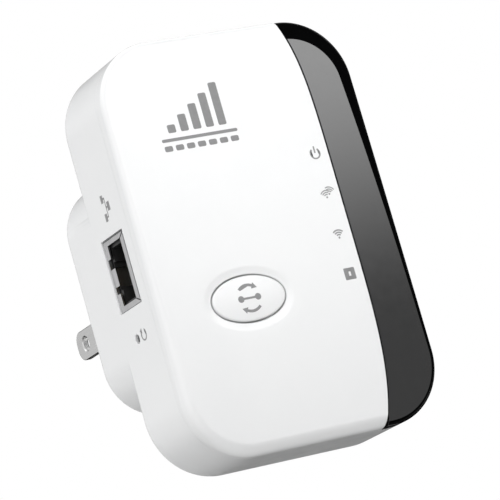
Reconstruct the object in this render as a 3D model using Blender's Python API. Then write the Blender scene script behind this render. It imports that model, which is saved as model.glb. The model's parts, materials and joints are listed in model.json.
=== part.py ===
"""A plug-in wireless range extender: white case, smoked side strip, oval pairing
button, LAN socket in the left side, and two flat mains blades behind.

Everything is modelled in the case's own frame and parented to one empty:
x runs to the right, y runs back from the front face to the wall, z runs up,
and x = z = 0 is the middle of the front. The empty puts the point midway
between the blades, on the face that meets the wall, at the world origin.
"""

import math

import bmesh
import bpy
from mathutils import Matrix, Vector

MM = 0.001
GAP = 0.3 * MM  # clearance between pieces that touch or slide on the real thing

# Case
WIDTH = 60 * MM
HEIGHT = 90 * MM
CORNER = 14 * MM
BODY_DEPTH = 21.3 * MM
TOTAL_DEPTH = 33.8 * MM
COVER_DEPTH = 3.2 * MM
WALL = 2 * MM
FRONT_ROUND = 2 * MM
REAR_ROUND = 1.5 * MM
CORNER_STEPS = 7

# Raised housing at the back
BOSS_TOP = 23.3 * MM
BOSS_BOTTOM = -28 * MM
BOSS_CORNER = 11.3 * MM

# Mains plug, two parallel flat blades
PLUG_X = -19 * MM
PLUG_Z = -7.5 * MM
BLADE_PITCH = 12.7 * MM
BLADE_WIDTH = 6.35 * MM
BLADE_THICK = 1.5 * MM
BLADE_LENGTH = 16.5 * MM
BLADE_TAIL_Y = 24 * MM
BLADE_HOLE = 3.1 * MM
BLADE_HOLE_OUT = 11.9 * MM

# Smoked strip along the right edge
STRIP_X = 19 * MM
STRIP_SWEEP_TOP = 3.9 * MM
STRIP_SWEEP_BOTTOM = 4.7 * MM
STRIP_SKIN = 1.3 * MM

# Pairing button
BUTTON_X = -9.1 * MM
BUTTON_Z = -12.75 * MM
BUTTON_WIDE = 17.2 * MM
BUTTON_TALL = 9.7 * MM
BUTTON_PROUD = 0.3 * MM
BUTTON_FLANGE = 1.2 * MM
BUTTON_STEM_END = 7.7 * MM

# Main board, standing just behind the LAN jack
BOARD_FRONT = 17.7 * MM
BOARD_THICK = 1.2 * MM
BOARD_WIDE = 54.6 * MM
BOARD_BOTTOM = -30 * MM
BOARD_TOP = 31 * MM
SEAT = BOARD_FRONT - GAP  # where parts on its front side end

# LAN jack
JACK_HALF = 7.75 * MM
JACK_FRONT = 6.6 * MM
JACK_MOUTH_X = -29.7 * MM
JACK_LENGTH = 15.7 * MM
JACK_SKIN = 0.5 * MM
SOCKET_WIDE = 11.9 * MM
SOCKET_FROM = 8.9 * MM
SOCKET_TO = 15.5 * MM
SOCKET_DEPTH = 13 * MM
LATCH_WIDE = 6.2 * MM
LATCH_TO = 16.3 * MM
WINDOW_WIDE = 13.2 * MM
WINDOW_LATCH_WIDE = 7.6 * MM
WINDOW_LATCH_TO = 16.7 * MM
CONTACTS = 8
CONTACT_PITCH = 1.02 * MM

# Reset switch behind its pinhole
RESET_Y = 13.1 * MM
RESET_Z = -14.4 * MM
RESET_HOLE = 2 * MM

# Case screws and the posts and pads they join
SCREW_X = 22 * MM
SCREW_Z = 37 * MM
SCREW_SHAFT = 1.1 * MM
SCREW_WAY = 1.4 * MM
SCREW_HEAD = 2.2 * MM
SCREW_WELL = 2.6 * MM
SCREW_POST = 2.75 * MM
SCREW_PAD = 3.8 * MM

# Label recess on the rear face
LABEL_LEFT = -7 * MM
LABEL_RIGHT = 25 * MM
LABEL_BOTTOM = -21 * MM
LABEL_TOP = 17 * MM
LABEL_CORNER = 2 * MM
LABEL_RECESS = 0.5 * MM
LABEL_THICK = 0.2 * MM

# Vent slots above and below the raised housing
VENT_COUNT = 7
VENT_PITCH = 4 * MM
VENT_WIDE = 1.6 * MM
VENT_TALL = 8 * MM
VENT_ROWS = {"top": 33.5 * MM, "bottom": -36 * MM}

# Power board, inside the raised housing
POWER_FRONT = 30.2 * MM
POWER_THICK = 1.2 * MM
POWER_SEAT = POWER_FRONT - GAP

# Indicators, listed from the top one down
LED_X = 22.8 * MM
LED_HEIGHTS = [15.1 * MM, 6.4 * MM, -2.6 * MM, -11.7 * MM]


def clear_scene():
    for old in list(bpy.data.objects):
        bpy.data.objects.remove(old, do_unlink=True)


def new_collection(name):
    made = bpy.data.collections.new(name)
    bpy.context.scene.collection.children.link(made)
    return made


clear_scene()
MODEL = new_collection("range_extender")
CUTTERS = new_collection("cutters")
CASE = bpy.data.objects.new("case_frame", None)
CASE.location = (-PLUG_X, -TOTAL_DEPTH, -PLUG_Z)
MODEL.objects.link(CASE)


def plastic(name, colour, roughness=0.3, metallic=0.0):
    made = bpy.data.materials.new(name)
    made.use_nodes = True
    shader = made.node_tree.nodes["Principled BSDF"]
    shader.inputs["Base Color"].default_value = (*colour, 1)
    shader.inputs["Roughness"].default_value = roughness
    shader.inputs["Metallic"].default_value = metallic
    return made


WHITE = plastic("white_plastic", (0.86, 0.87, 0.87), 0.22)
SMOKED = plastic("smoked_plastic", (0.02, 0.02, 0.022), 0.08)
CLEAR = plastic("clear_plastic", (0.85, 0.88, 0.9), 0.1)
BLACK = plastic("black_plastic", (0.03, 0.03, 0.03), 0.5)
CREAM = plastic("cream_plastic", (0.8, 0.78, 0.7), 0.5)
GREEN = plastic("circuit_board", (0.04, 0.22, 0.09), 0.45)
NICKEL = plastic("nickel", (0.6, 0.59, 0.57), 0.3, 1.0)
STEEL = plastic("steel", (0.42, 0.42, 0.44), 0.35, 1.0)
GOLD = plastic("gold_plate", (0.83, 0.62, 0.25), 0.25, 1.0)
FERRITE = plastic("ferrite", (0.09, 0.09, 0.1), 0.6)
TAPE = plastic("yellow_tape", (0.85, 0.65, 0.1), 0.5)
BLUE = plastic("blue_epoxy", (0.05, 0.2, 0.55), 0.4)
PAPER = plastic("label_film", (0.72, 0.73, 0.74), 0.5)
RED_WIRE = plastic("red_insulation", (0.55, 0.04, 0.04), 0.5)
GREY_WIRE = plastic("grey_insulation", (0.25, 0.25, 0.26), 0.5)


def link(obj, material=None):
    """A part goes in the model; an object with no material is a cutter."""
    obj.parent = CASE
    if material is None:
        CUTTERS.objects.link(obj)
        obj.hide_render = True
        obj.display_type = "WIRE"
    else:
        MODEL.objects.link(obj)
        obj.data.materials.clear()
        obj.data.materials.append(material)
    return obj


def from_bmesh(name, shape, material=None, location=(0, 0, 0), smooth=False):
    mesh = bpy.data.meshes.new(name)
    bmesh.ops.recalc_face_normals(shape, faces=shape.faces)
    shape.to_mesh(mesh)
    shape.free()
    if smooth:
        mesh.shade_smooth()
        mesh.set_sharp_from_angle(angle=math.radians(35))
    obj = bpy.data.objects.new(name, mesh)
    obj.location = location
    return link(obj, material)


def edges_along(shape, axis):
    """The edges of a box-like shape that run along one axis."""
    found = []
    for edge in shape.edges:
        run = (edge.verts[1].co - edge.verts[0].co).normalized()
        if abs(run[axis]) > 0.99:
            found.append(edge)
    return found


def box(name, low, high, material=None, rounding=0.0, axis=1, steps=2):
    """A box between two corners, its edges along one axis rounded."""
    low, high = Vector(low), Vector(high)
    middle, size = (low + high) / 2, high - low
    shape = bmesh.new()
    bmesh.ops.create_cube(shape, size=1, matrix=Matrix.Diagonal((*size, 1)))
    if rounding:
        bmesh.ops.bevel(
            shape, geom=edges_along(shape, axis), offset=rounding,
            segments=steps, profile=0.5, affect="EDGES",
        )
    return from_bmesh(name, shape, material, middle, smooth=bool(rounding))


def slab(name, wide, bottom, top, front, back, corner, material=None,
         front_round=0.0, back_round=0.0, round_steps=3):
    """A rounded rectangle seen from the front, with rounded front and back rims."""
    shape = bmesh.new()
    size = Matrix.Diagonal((wide, back - front, top - bottom, 1))
    bmesh.ops.create_cube(shape, size=1, matrix=size)
    bmesh.ops.bevel(
        shape, geom=edges_along(shape, 1), offset=corner,
        segments=CORNER_STEPS, profile=0.5, affect="EDGES",
    )
    half = (back - front) / 2
    for side, rounding in ((-half, front_round), (half, back_round)):
        if not rounding:
            continue
        rim = [e for e in shape.edges
               if all(abs(v.co.y - side) < 1e-7 for v in e.verts)]
        bmesh.ops.bevel(
            shape, geom=rim, offset=rounding, segments=round_steps,
            profile=0.5, affect="EDGES",
        )
    place = (0, (front + back) / 2, (bottom + top) / 2)
    return from_bmesh(name, shape, material, place, smooth=True)


AXES = {
    "x": Matrix.Rotation(math.radians(90), 4, "Y"),
    "y": Matrix.Rotation(math.radians(-90), 4, "X"),
    "z": Matrix.Identity(4),
}


def rod(name, radius, start, length, axis="y", material=None, sides=16, end_radius=None):
    """A cylinder or cone that starts at a point and runs along one axis."""
    shape = bmesh.new()
    bmesh.ops.create_cone(
        shape, cap_ends=True, segments=sides, radius1=radius,
        radius2=radius if end_radius is None else end_radius, depth=length,
        matrix=AXES[axis] @ Matrix.Translation((0, 0, length / 2)),
    )
    return from_bmesh(name, shape, material, start, smooth=True)


def oval(name, wide, tall, front, back, material=None, sides=28):
    """An elliptical disc facing the front, centred on the button."""
    shape = bmesh.new()
    bmesh.ops.create_cone(
        shape, cap_ends=True, segments=sides, radius1=0.5, radius2=0.5, depth=1,
        matrix=Matrix.Diagonal((wide, back - front, tall, 1)) @ AXES["y"],
    )
    return from_bmesh(
        name, shape, material, (BUTTON_X, (front + back) / 2, BUTTON_Z), smooth=True
    )


def outline_prism(name, points, front, back):
    """A flat outline in x and z, as a filled 2D curve made into a mesh cutter."""
    curve = bpy.data.curves.new(name, "CURVE")
    curve.dimensions = "2D"
    curve.fill_mode = "BOTH"
    curve.extrude = (back - front) / 2
    spline = curve.splines.new("POLY")
    spline.points.add(len(points) - 1)
    for point, (x, z) in zip(spline.points, points):
        point.co = (x, z, 0, 1)
    spline.use_cyclic_u = True
    drawn = bpy.data.objects.new(name + "_curve", curve)
    drawn.rotation_euler = (math.radians(90), 0, 0)
    drawn.location = (0, (front + back) / 2, 0)
    CUTTERS.objects.link(drawn)
    bpy.context.view_layer.update()
    graph = bpy.context.evaluated_depsgraph_get()
    mesh = bpy.data.meshes.new_from_object(drawn.evaluated_get(graph))
    mesh.transform(drawn.matrix_world)
    shape = bmesh.new()
    shape.from_mesh(mesh)
    bmesh.ops.remove_doubles(shape, verts=shape.verts, dist=1e-6)
    bpy.data.objects.remove(drawn)
    return from_bmesh(name, shape)


def wire(name, points, radius, material, samples=14):
    """An insulated lead through hand-placed points, on a smooth curve."""
    knots = [Vector(p) for p in points]
    padded = [2 * knots[0] - knots[1], *knots, 2 * knots[-1] - knots[-2]]
    route = []
    for a, b, c, d in zip(padded, padded[1:], padded[2:], padded[3:]):
        for step in range(samples // (len(knots) - 1)):
            t = step / (samples // (len(knots) - 1))
            route.append(0.5 * (
                2 * b + (c - a) * t + (2 * a - 5 * b + 4 * c - d) * t * t
                + (3 * b - a - 3 * c + d) * t ** 3
            ))
    route.append(knots[-1])
    curve = bpy.data.curves.new(name, "CURVE")
    curve.dimensions = "3D"
    curve.bevel_depth = radius
    curve.bevel_resolution = 2
    curve.use_fill_caps = True
    spline = curve.splines.new("POLY")
    spline.points.add(len(route) - 1)
    for point, place in zip(spline.points, route):
        point.co = (*place, 1)
    return link(bpy.data.objects.new(name, curve), material)


def combine(obj, other, operation):
    step = obj.modifiers.new(f"{operation.lower()}_{other.name}", "BOOLEAN")
    step.operation = operation
    step.object = other
    step.solver = "EXACT"


def cut(obj, *cutters):
    for cutter in cutters:
        combine(obj, cutter, "DIFFERENCE")


def join(obj, *others):
    for other in others:
        combine(obj, other, "UNION")


def strip_edge(z):
    """Where the white front meets the smoked strip, at a height."""
    share = abs(z) / (HEIGHT / 2)
    if z > 0:
        return STRIP_X - STRIP_SWEEP_TOP * share ** 5.6
    return STRIP_X - STRIP_SWEEP_BOTTOM * share ** 4


def strip_region(name, shift, front, back):
    """Everything to the right of the strip's edge, moved sideways by shift."""
    reach = HEIGHT / 2 + 1 * MM
    steps = 22
    heights = [-reach + 2 * reach * i / steps for i in range(steps + 1)]
    edge = [(strip_edge(z) + shift, z) for z in heights]
    far = WIDTH / 2 + 5 * MM
    return outline_prism(name, [*edge, (far, reach), (far, -reach)], front, back)


def screw_places():
    return [(x, z) for z in (SCREW_Z, -SCREW_Z) for x in (-SCREW_X, SCREW_X)]


def make_front_cover():
    half = HEIGHT / 2
    cover = slab("front_cover", WIDTH, -half, half, 0, COVER_DEPTH, CORNER, WHITE,
                 front_round=FRONT_ROUND)
    hollow = slab("cover_hollow", WIDTH - 2 * WALL, -half + WALL, half - WALL, WALL,
                  COVER_DEPTH + 1 * MM, CORNER - WALL)
    cut(cover, hollow)
    cut(cover, strip_region("cover_strip_cut", -GAP / 2, -1 * MM, COVER_DEPTH + 1 * MM))
    tray_inset = STRIP_SKIN + GAP
    tray = slab("cover_tray", WIDTH - 2 * tray_inset, -half + tray_inset,
                half - tray_inset, tray_inset, COVER_DEPTH, CORNER - tray_inset)
    tray_side = strip_region("cover_tray_side", -1.5 * MM, 0, COVER_DEPTH + 1 * MM)
    combine(tray, tray_side, "INTERSECT")
    join(cover, tray)
    for number, (x, z) in enumerate(screw_places(), 1):
        start = STRIP_SKIN + GAP + 0.1 * MM
        post = rod(f"cover_post_{number}", SCREW_POST, (x, start, z), 17.2 * MM - start)
        join(cover, post)
        pilot = rod(f"cover_pilot_{number}", SCREW_WAY, (x, 9 * MM, z), 9 * MM, sides=12)
        cut(cover, pilot)
    hole = oval("button_hole", BUTTON_WIDE + 2 * GAP, BUTTON_TALL + 2 * GAP,
                -1 * MM, 3 * MM)
    cut(cover, hole)
    for number, z in enumerate(LED_HEIGHTS, 1):
        cut(cover, rod(f"led_window_{number}", 1.7 * MM, (LED_X, 0, z), 5 * MM, sides=12))


def make_side_strip():
    half = HEIGHT / 2
    strip = slab("side_strip", WIDTH, -half, half, 0, COVER_DEPTH, CORNER, SMOKED,
                 front_round=FRONT_ROUND)
    combine(strip, strip_region("strip_keep", GAP / 2, -1 * MM, 6 * MM), "INTERSECT")
    hollow = slab("strip_hollow", WIDTH - 2 * STRIP_SKIN, -half + STRIP_SKIN,
                  half - STRIP_SKIN, STRIP_SKIN, COVER_DEPTH + 1 * MM,
                  CORNER - STRIP_SKIN)
    cut(strip, hollow)


def make_rear_housing():
    half = HEIGHT / 2
    shell = slab("rear_housing", WIDTH, -half, half, COVER_DEPTH + GAP, BODY_DEPTH,
                 CORNER, WHITE, back_round=REAR_ROUND)
    join(shell, slab("boss_outer", WIDTH, BOSS_BOTTOM, BOSS_TOP, 12 * MM, TOTAL_DEPTH,
                     BOSS_CORNER, back_round=REAR_ROUND))
    cut(shell, slab("body_hollow", WIDTH - 2 * WALL, -half + WALL, half - WALL,
                    0, BODY_DEPTH - WALL, CORNER - WALL))
    cut(shell, slab("boss_hollow", WIDTH - 2 * WALL, BOSS_BOTTOM + WALL, BOSS_TOP - WALL,
                    10 * MM, TOTAL_DEPTH - WALL, BOSS_CORNER - WALL))
    cut(shell, box("jack_hole", (-32 * MM, JACK_FRONT - GAP, -JACK_HALF - GAP),
                   (-26 * MM, BOARD_FRONT, JACK_HALF + GAP)))
    cut(shell, rod("reset_hole", RESET_HOLE / 2, (-32 * MM, RESET_Y, RESET_Z), 6 * MM,
                   "x", sides=12))
    for number, (x, z) in enumerate(screw_places(), 1):
        join(shell, rod(f"screw_pad_{number}", SCREW_PAD, (x, 17.5 * MM, z), 2.3 * MM))
        cut(shell,
            rod(f"screw_well_{number}", SCREW_WELL, (x, 19.3 * MM, z), 3 * MM),
            rod(f"screw_way_{number}", SCREW_WAY, (x, 17 * MM, z), 4 * MM, sides=12))
    for side in (-1, 1):
        x = PLUG_X + side * BLADE_PITCH / 2
        wide, tall = BLADE_THICK / 2 + GAP, BLADE_WIDTH / 2 + GAP
        cut(shell, box(f"blade_slot_{side}", (x - wide, 30 * MM, PLUG_Z - tall),
                       (x + wide, 36 * MM, PLUG_Z + tall)))
    cut(shell, box("label_recess", (LABEL_LEFT, TOTAL_DEPTH - LABEL_RECESS, LABEL_BOTTOM),
                   (LABEL_RIGHT, 36 * MM, LABEL_TOP), rounding=LABEL_CORNER))
    for row, z in VENT_ROWS.items():
        for number in range(VENT_COUNT):
            x = (number - (VENT_COUNT - 1) / 2) * VENT_PITCH
            cut(shell, box(f"vent_{row}_{number}",
                           (x - VENT_WIDE / 2, 18 * MM, z - VENT_TALL / 2),
                           (x + VENT_WIDE / 2, 23 * MM, z + VENT_TALL / 2)))
    for side in (-1, 1):
        join(shell, rod(f"board_pin_{side}", 1.1 * MM, (side * 18 * MM, 16.6 * MM, 27.5 * MM),
                        3.5 * MM, sides=10))


def make_label():
    """A blank film, with a little clearance all round in its recess."""
    front = TOTAL_DEPTH - LABEL_RECESS + GAP - 0.02 * MM
    box("rating_label", (LABEL_LEFT + GAP, front, LABEL_BOTTOM + GAP),
        (LABEL_RIGHT - GAP, front + LABEL_THICK, LABEL_TOP - GAP), PAPER, LABEL_CORNER)


def make_screws():
    for number, (x, z) in enumerate(screw_places(), 1):
        head = rod(f"case_screw_{number}", SCREW_HEAD, (x, 19.6 * MM, z), 1.5 * MM,
                   material=STEEL, end_radius=1.9 * MM)
        join(head, rod(f"screw_shaft_{number}", SCREW_SHAFT, (x, 11 * MM, z), 9 * MM, sides=10))
        for turn, wide, tall in (("flat", 2.6, 0.6), ("tall", 0.6, 2.6)):
            cut(head, box(f"drive_{turn}_{number}",
                          (x - wide / 2 * MM, 20.3 * MM, z - tall / 2 * MM),
                          (x + wide / 2 * MM, 22 * MM, z + tall / 2 * MM)))


def make_blades():
    for name, side in (("left", -1), ("right", 1)):
        x = PLUG_X + side * BLADE_PITCH / 2
        tip = TOTAL_DEPTH + BLADE_LENGTH
        low = (x - BLADE_THICK / 2, BLADE_TAIL_Y, PLUG_Z - BLADE_WIDTH / 2)
        high = (x + BLADE_THICK / 2, tip, PLUG_Z + BLADE_WIDTH / 2)
        blade = box(f"{name}_blade", low, high, NICKEL)
        nose = box(f"{name}_nose", low, high, rounding=2.6 * MM, axis=0, steps=5)
        combine(blade, nose, "INTERSECT")
        cut(blade, rod(f"{name}_blade_hole", BLADE_HOLE / 2,
                       (x - 2 * MM, TOTAL_DEPTH + BLADE_HOLE_OUT, PLUG_Z), 4 * MM, "x"))
    holder = box("blade_holder", (-27.6 * MM, 26 * MM, PLUG_Z - 5.4 * MM),
                 (-10.4 * MM, 31.4 * MM, PLUG_Z + 5.4 * MM), CREAM, 1 * MM)
    for side in (-1, 1):
        x = PLUG_X + side * BLADE_PITCH / 2
        cut(holder, box(f"holder_slot_{side}",
                        (x - BLADE_THICK / 2 - GAP, 25 * MM, PLUG_Z - BLADE_WIDTH / 2 - GAP),
                        (x + BLADE_THICK / 2 + GAP, 33 * MM, PLUG_Z + BLADE_WIDTH / 2 + GAP)))
    tail = BLADE_TAIL_Y - GAP
    left, right = PLUG_X - BLADE_PITCH / 2, PLUG_X + BLADE_PITCH / 2
    wire("left_blade_lead", [
        (left, tail, PLUG_Z), (left + 0.6 * MM, 21.6 * MM, PLUG_Z + 2 * MM),
        (-17 * MM, 20.8 * MM, 2 * MM), (-8 * MM, 22 * MM, 5 * MM),
        (-5 * MM, 26 * MM, 3 * MM), (-4.8 * MM, POWER_SEAT, 2 * MM)],
        0.65 * MM, RED_WIRE, 20)
    wire("right_blade_lead", [
        (right, tail, PLUG_Z), (right + 0.6 * MM, 21.6 * MM, PLUG_Z - 1.5 * MM),
        (-8.6 * MM, 21.8 * MM, -10 * MM), (-5.6 * MM, 25.5 * MM, -8.2 * MM),
        (-5.2 * MM, POWER_SEAT, -7.6 * MM)], 0.65 * MM, GREY_WIRE, 16)


def make_button():
    back_of_plate = WALL + GAP
    flange_back = back_of_plate + 1 * MM
    cap = oval("pairing_button", BUTTON_WIDE, BUTTON_TALL, -BUTTON_PROUD, flange_back, WHITE)
    join(cap, oval("button_flange", BUTTON_WIDE + 2 * BUTTON_FLANGE,
                   BUTTON_TALL + 2 * BUTTON_FLANGE, back_of_plate, flange_back + 0.1 * MM))
    join(cap, rod("button_stem", 2 * MM, (BUTTON_X, 2 * MM, BUTTON_Z),
                  BUTTON_STEM_END - 2 * MM, sides=12))


def make_switches():
    half = 3 * MM
    body = box("pairing_switch", (BUTTON_X - half, 13.6 * MM, BUTTON_Z - half),
               (BUTTON_X + half, SEAT, BUTTON_Z + half), BLACK, 0.5 * MM)
    cut(body, rod("pairing_switch_bore", 2 * MM, (BUTTON_X, 12 * MM, BUTTON_Z), 3 * MM))
    rod("pairing_plunger", 1.7 * MM, (BUTTON_X, BUTTON_STEM_END + GAP, BUTTON_Z),
        6.2 * MM, material=CREAM)
    body = box("reset_switch", (-26 * MM, RESET_Y - half, RESET_Z - half),
               (-22.4 * MM, SEAT, RESET_Z + half), BLACK, 0.5 * MM, axis=0)
    cut(body, rod("reset_switch_bore", 1.8 * MM, (-27 * MM, RESET_Y, RESET_Z), 2.6 * MM, "x"))
    rod("reset_plunger", 1.5 * MM, (-27.6 * MM, RESET_Y, RESET_Z), 2.6 * MM, "x", BLACK)


def make_jack():
    inner_end = JACK_MOUTH_X + JACK_LENGTH
    can = box("lan_jack_shield", (JACK_MOUTH_X, JACK_FRONT, -JACK_HALF),
              (inner_end, SEAT, JACK_HALF), STEEL)
    cut(can, box("shield_hollow", (JACK_MOUTH_X + JACK_SKIN, JACK_FRONT + JACK_SKIN,
                                   -JACK_HALF + JACK_SKIN),
                 (inner_end + 1 * MM, SEAT - JACK_SKIN, JACK_HALF - JACK_SKIN)))
    insert = box("lan_jack_insert",
                 (JACK_MOUTH_X + JACK_SKIN + GAP, JACK_FRONT + JACK_SKIN + GAP,
                  -JACK_HALF + JACK_SKIN + GAP),
                 (inner_end, SEAT - JACK_SKIN - GAP, JACK_HALF - JACK_SKIN - GAP), BLACK)
    socket_end = JACK_MOUTH_X + SOCKET_DEPTH
    mouth = box("socket_space", (-32 * MM, SOCKET_FROM, -SOCKET_WIDE / 2),
                (socket_end, SOCKET_TO, SOCKET_WIDE / 2))
    latch = box("latch_space", (-32 * MM, SOCKET_TO - 1 * MM, -LATCH_WIDE / 2),
                (socket_end, LATCH_TO, LATCH_WIDE / 2))
    cut(insert, mouth, latch)
    cut(can,
        box("shield_window", (-32 * MM, SOCKET_FROM, -WINDOW_WIDE / 2),
            (-28 * MM, SOCKET_TO, WINDOW_WIDE / 2)),
        box("shield_notch", (-32 * MM, SOCKET_TO - 1 * MM, -WINDOW_LATCH_WIDE / 2),
            (-28 * MM, WINDOW_LATCH_TO, WINDOW_LATCH_WIDE / 2)))
    for number in range(CONTACTS):
        z = (number - (CONTACTS - 1) / 2) * CONTACT_PITCH
        slot = box(f"contact_slot_{number + 1}",
                   (-26.5 * MM, JACK_FRONT + 1.3 * MM, z - 0.4 * MM),
                   (socket_end + 0.6 * MM, SOCKET_FROM + 0.5 * MM, z + 0.4 * MM))
        cut(insert, slot)
        contact = box(f"lan_contact_{number + 1}", (-3.9 * MM, -0.125 * MM, -0.16 * MM),
                      (3.9 * MM, 0.125 * MM, 0.16 * MM), GOLD)
        contact.location = (-21.9 * MM, 9.35 * MM, z)
        contact.rotation_euler = (0, 0, math.radians(14))


def make_main_board():
    board = box("main_board", (-BOARD_WIDE / 2, BOARD_FRONT, BOARD_BOTTOM),
                (BOARD_WIDE / 2, BOARD_FRONT + BOARD_THICK, BOARD_TOP), GREEN, 1.5 * MM)
    for side in (-1, 1):
        cut(board, rod(f"pin_hole_{side}", 1.5 * MM, (side * 18 * MM, 16 * MM, 27.5 * MM),
                       4 * MM, sides=10))

    def chip(name, x, z, wide, tall, high, material, rounding=0.0):
        return box(name, (x - wide / 2, SEAT - high, z - tall / 2),
                   (x + wide / 2, SEAT, z + tall / 2), material, rounding)

    chip("radio_chip", 2 * MM, 3 * MM, 9 * MM, 9 * MM, 1 * MM, BLACK)
    chip("radio_shield_can", 2 * MM, 18 * MM, 16 * MM, 13 * MM, 1.8 * MM, NICKEL, 0.8 * MM)
    chip("memory_chip", 14 * MM, 2 * MM, 6 * MM, 8 * MM, 1.2 * MM, BLACK)
    chip("clock_crystal", -9 * MM, 5 * MM, 3.2 * MM, 2.5 * MM, 0.8 * MM, NICKEL, 0.4 * MM)
    chip("lan_transformer", -19 * MM, -23.5 * MM, 12 * MM, 7 * MM, 4 * MM, BLACK)
    for number, z in enumerate(LED_HEIGHTS, 1):
        chip(f"indicator_led_{number}", LED_X, z, 1.6 * MM, 2.4 * MM, 1.1 * MM, CREAM)


def make_light_guide():
    front, back = 2.1 * MM, SEAT - 1.5 * MM
    low, high = LED_HEIGHTS[-1], LED_HEIGHTS[0]
    bar = box("light_guide", (LED_X - 1 * MM, 8 * MM, low - 2.5 * MM),
              (LED_X + 1 * MM, 10 * MM, high + 2.5 * MM), CLEAR)
    for number, z in enumerate(LED_HEIGHTS, 1):
        join(bar, rod(f"light_pipe_{number}", 1.3 * MM, (LED_X, front, z), back - front,
                      sides=10))


def make_antennas():
    for name, side in (("left", -1), ("right", 1)):
        x = side * 9 * MM
        box(f"{name}_antenna", (x - 6 * MM, 8 * MM, 38.6 * MM),
            (x + 6 * MM, 16 * MM, 39.4 * MM), GREEN, 0.8 * MM, axis=2)
        wire(f"{name}_antenna_lead", [
            (side * 5 * MM, 12 * MM, 38.6 * MM - GAP - 0.6 * MM),
            (side * 3 * MM, 12.6 * MM, 35 * MM), (side * 2 * MM, 14.6 * MM, 31 * MM),
            (side * 2.5 * MM, 15.6 * MM, 27.6 * MM), (side * 3 * MM, SEAT - 0.6 * MM, 25.4 * MM)],
            0.55 * MM, GREY_WIRE, 16)


def make_power_supply():
    box("power_board", (-8 * MM, POWER_FRONT, -23.5 * MM),
        (26 * MM, POWER_FRONT + POWER_THICK, 18.8 * MM), GREEN, 5 * MM, steps=4)
    rod("fuse_resistor", 1.6 * MM, (-4.2 * MM, POWER_SEAT - 1.7 * MM, 7 * MM), 9 * MM, "z",
        CREAM, 12)
    for number, z in ((1, 6 * MM), (2, -7 * MM)):
        rod(f"input_capacitor_{number}", 3.15 * MM, (3.4 * MM, POWER_SEAT - 3.2 * MM, z),
            10.5 * MM, "z", BLACK)
    rod("output_capacitor", 4 * MM, (22 * MM, 20 * MM, -16 * MM), POWER_SEAT - 20 * MM,
        material=BLACK, sides=18)
    rod("filter_choke", 3 * MM, (8.5 * MM, 22.6 * MM, -19 * MM), POWER_SEAT - 22.6 * MM,
        material=FERRITE)
    rod("safety_capacitor", 3.5 * MM, (10.8 * MM, 26.2 * MM, -10 * MM), 3 * MM, "x", BLUE)
    box("bridge_rectifier", (-3 * MM, POWER_SEAT - 2.4 * MM, -22.4 * MM),
        (2 * MM, POWER_SEAT, -18 * MM), BLACK)
    box("power_controller", (-2.4 * MM, POWER_SEAT - 1.6 * MM, -15 * MM),
        (2.4 * MM, POWER_SEAT, -11 * MM), BLACK)
    core = box("transformer_core", (9 * MM, 20 * MM, -1 * MM),
               (22 * MM, POWER_SEAT, 5 * MM), FERRITE)
    cut(core, box("core_window", (10.8 * MM, 21.8 * MM, -2 * MM),
                  (20.2 * MM, 28.1 * MM, 6 * MM)))
    box("transformer_winding", (11.1 * MM, 22.1 * MM, -4.5 * MM),
        (19.9 * MM, 27.8 * MM, 8.5 * MM), TAPE, 1 * MM, axis=2)
    box("board_link_header", (23.2 * MM, 19.3 * MM, 7 * MM),
        (26 * MM, POWER_SEAT, 17 * MM), BLACK)


make_front_cover()
make_side_strip()
make_rear_housing()
make_label()
make_screws()
make_blades()
make_button()
make_switches()
make_jack()
make_main_board()
make_light_guide()
make_antennas()
make_power_supply()
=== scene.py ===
"""The looks of a plug-in wireless range extender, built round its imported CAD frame.

The shells, the smoked strip, the button, the LAN socket, the blades and the screws are
remade here with finer surfaces; boards and other inner parts keep their CAD shapes and
get procedural materials. Pieces are modelled in the case's own frame: x to the right,
y back from the front face, z up, with x = z = 0 in the middle of the front.
"""

import json
import math

import bmesh
import bpy
from mathutils import Matrix, Vector


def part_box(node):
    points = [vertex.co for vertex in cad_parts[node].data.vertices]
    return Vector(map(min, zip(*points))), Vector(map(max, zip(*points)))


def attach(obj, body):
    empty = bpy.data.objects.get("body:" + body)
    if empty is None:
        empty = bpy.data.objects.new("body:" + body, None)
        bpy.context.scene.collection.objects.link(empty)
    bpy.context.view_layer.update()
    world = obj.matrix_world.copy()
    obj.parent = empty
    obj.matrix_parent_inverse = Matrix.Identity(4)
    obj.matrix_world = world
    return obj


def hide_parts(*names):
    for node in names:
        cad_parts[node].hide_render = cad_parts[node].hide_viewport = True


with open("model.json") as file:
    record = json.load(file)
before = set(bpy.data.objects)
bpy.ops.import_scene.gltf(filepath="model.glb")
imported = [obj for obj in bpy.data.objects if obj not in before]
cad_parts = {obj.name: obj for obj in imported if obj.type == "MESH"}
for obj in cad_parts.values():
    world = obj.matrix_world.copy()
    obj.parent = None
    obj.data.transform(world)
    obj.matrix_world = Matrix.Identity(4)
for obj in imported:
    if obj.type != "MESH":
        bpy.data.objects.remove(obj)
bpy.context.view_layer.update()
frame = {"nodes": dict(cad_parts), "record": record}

MM = 0.001

# The frame's own sizes
REAR_LOW, REAR_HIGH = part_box("rear_housing")
STRIP_LOW, STRIP_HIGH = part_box("side_strip")
BUTTON_LOW, BUTTON_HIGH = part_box("pairing_button")
SHIELD_LOW, SHIELD_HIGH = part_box("lan_jack_shield")
INSERT_LOW, INSERT_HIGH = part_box("lan_jack_insert")
CENTRE = Vector(((REAR_LOW.x + REAR_HIGH.x) / 2, STRIP_LOW.y, (REAR_LOW.z + REAR_HIGH.z) / 2))
HEIGHT = REAR_HIGH.z - REAR_LOW.z
WIDTH = REAR_HIGH.x - REAR_LOW.x
COVER_DEPTH = STRIP_HIGH.y - STRIP_LOW.y
TOTAL_DEPTH = REAR_HIGH.y - STRIP_LOW.y

OVERSHOOT = 1 * MM  # how far a cutter reaches past the face that it cuts

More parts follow.
